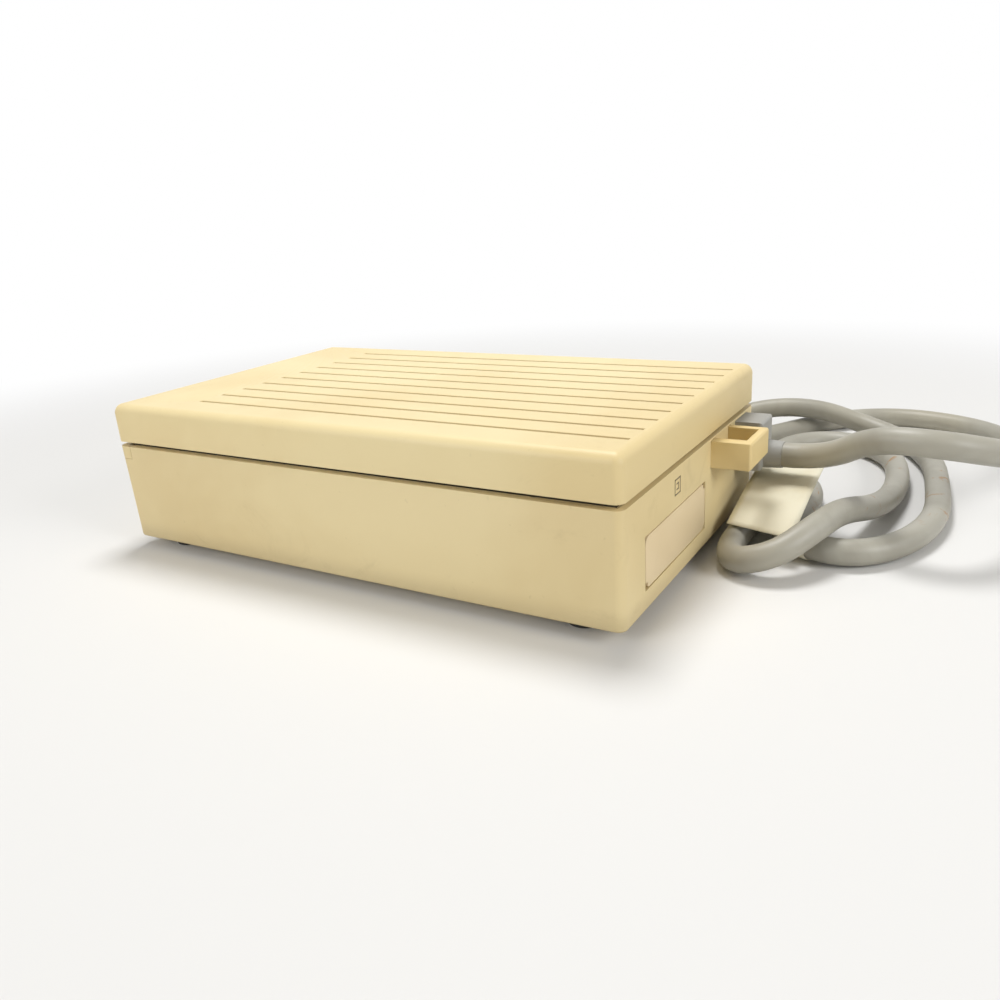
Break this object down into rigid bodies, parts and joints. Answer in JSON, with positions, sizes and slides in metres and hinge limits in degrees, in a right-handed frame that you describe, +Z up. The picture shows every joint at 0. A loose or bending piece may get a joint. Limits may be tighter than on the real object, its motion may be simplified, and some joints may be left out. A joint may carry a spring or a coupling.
{
  "type": "external floppy disk drive",
  "caption": "Flat desktop disk drive case with a grooved lid, rear cord loop, blank port panel and a loosely laid round cable with a wide plug.",
  "frame": {"origin": "under the middle of the case and its rear loop, on the surface that the feet stand on", "axes": "+Z up, the disk slot faces -Y, the cable and the loop are on the +Y side"},
  "size_m": [0.2608, 0.3028, 0.056],
  "materials": {
    "case_plastic": "satin",
    "front_plastic": "satin",
    "grey_plastic": "matte",
    "cover_plastic": "satin",
    "black_rubber": "matte",
    "cable_jacket": "satin",
    "lamp_lens": "gloss",
    "flap_plastic": "matte",
    "steel": "brushed",
    "sheet_steel": "satin",
    "cast_frame": "cast",
    "brass": "satin",
    "board_green": "satin",
    "black_plastic": "matte",
    "white_plastic": "satin",
    "paper": "matte",
    "iron": "matte",
    "chrome": "polished",
    "copper": "satin"
  },
  "bodies": {
    "case": {"lower_case": "case_plastic", "top_lid": "case_plastic", "front_bezel": "front_plastic", "activity_lamp": "lamp_lens", "port_cover": "cover_plastic", "cord_loop": "case_plastic", "strain_relief": "grey_plastic", "foot_front_right": "black_rubber", "foot_rear_right": "black_rubber", "foot_front_left": "black_rubber", "foot_rear_left": "black_rubber", "case_screws": "steel", "shield_tray": "sheet_steel", "shield_cover": "sheet_steel", "chassis": "cast_frame", "chassis_screws": "steel", "motor_board": "board_green", "spindle_bearing": "brass", "motor_stator": "copper", "guide_rails": "chrome", "stepper_motor": "steel", "sensor_switches": "black_plastic", "interface_board": "board_green", "board_chips": "black_plastic", "board_socket": "white_plastic", "ribbon_cable": "grey_plastic", "signal_cable": "cable_jacket", "plug_hood": "case_plastic", "plug_shell": "chrome", "plug_pins": "black_plastic", "cord_tag": "paper"},
    "flap": {"dust_flap": "flap_plastic"},
    "slider": {"eject_slider": "sheet_steel", "eject_button": "front_plastic"},
    "cage": {"disk_cage": "sheet_steel", "lever_rivet": "brass"},
    "lever": {"shutter_lever": "steel"},
    "rotor": {"rotor_cup": "sheet_steel", "rotor_magnet": "iron", "spindle_shaft": "chrome", "drive_hub": "chrome"},
    "lead": {"lead_screw": "chrome"},
    "carriage": {"head_carriage": "black_plastic", "lower_head": "white_plastic", "arm_pin": "chrome"},
    "arm": {"head_arm": "sheet_steel", "upper_head": "white_plastic"},
    "screw_right": {"plug_screw_right": "steel"},
    "screw_left": {"plug_screw_left": "steel"}
  },
  "joints": [
    {"name": "flap_hinge", "type": "hinge", "parent": "case", "child": "flap", "pos_m": [0, -0.09995, 0.0314], "axis": [1, 0, 0], "range_deg": [0, 75], "stiffness_Nm_per_rad": 0.0004},
    {"name": "eject_slide", "type": "slide", "parent": "case", "child": "slider", "axis": [0, -1, 0], "range_m": [0, 0.005]},
    {"name": "cage_drop", "type": "slide", "parent": "case", "child": "cage", "axis": [0, 0, -1], "range_m": [0, 0.0028]},
    {"name": "lever_swing", "type": "hinge", "parent": "cage", "child": "lever", "pos_m": [-0.042, -0.00585, 0.0312], "axis": [0, 0, 1], "range_deg": [0, 55], "stiffness_Nm_per_rad": 0.0006},
    {"name": "spindle_turn", "type": "hinge", "parent": "case", "child": "rotor", "pos_m": [0, -0.04385, 0.02], "axis": [0, 0, 1], "continuous": true},
    {"name": "head_slide", "type": "slide", "parent": "case", "child": "carriage", "axis": [0, -1, 0], "range_m": [0, 0.015]},
    {"name": "lead_turn", "type": "hinge", "parent": "case", "child": "lead", "pos_m": [0.035, 0.02, 0.0235], "axis": [0, 1, 0], "range_deg": [0, 1805]},
    {"name": "arm_hinge", "type": "hinge", "parent": "carriage", "child": "arm", "pos_m": [0, 0.02295, 0.0332], "axis": [1, 0, 0], "range_deg": [0, 11.1]},
    {"name": "plug_screw_right_turn", "type": "hinge", "parent": "case", "child": "screw_right", "pos_m": [-0.0995, 0, 0.0075], "axis": [0, 1, 0], "continuous": true},
    {"name": "plug_screw_left_turn", "type": "hinge", "parent": "case", "child": "screw_left", "pos_m": [-0.1445, 0, 0.0075], "axis": [0, 1, 0], "continuous": true}
  ],
  "couplings": [
    {"joint": "cage_drop", "follows": "eject_slide", "ratio": 0.56},
    {"joint": "arm_hinge", "follows": "eject_slide", "rad_per_m": 38.4},
    {"joint": "lead_turn", "follows": "head_slide", "rad_per_m": 2094.4}
  ]
}
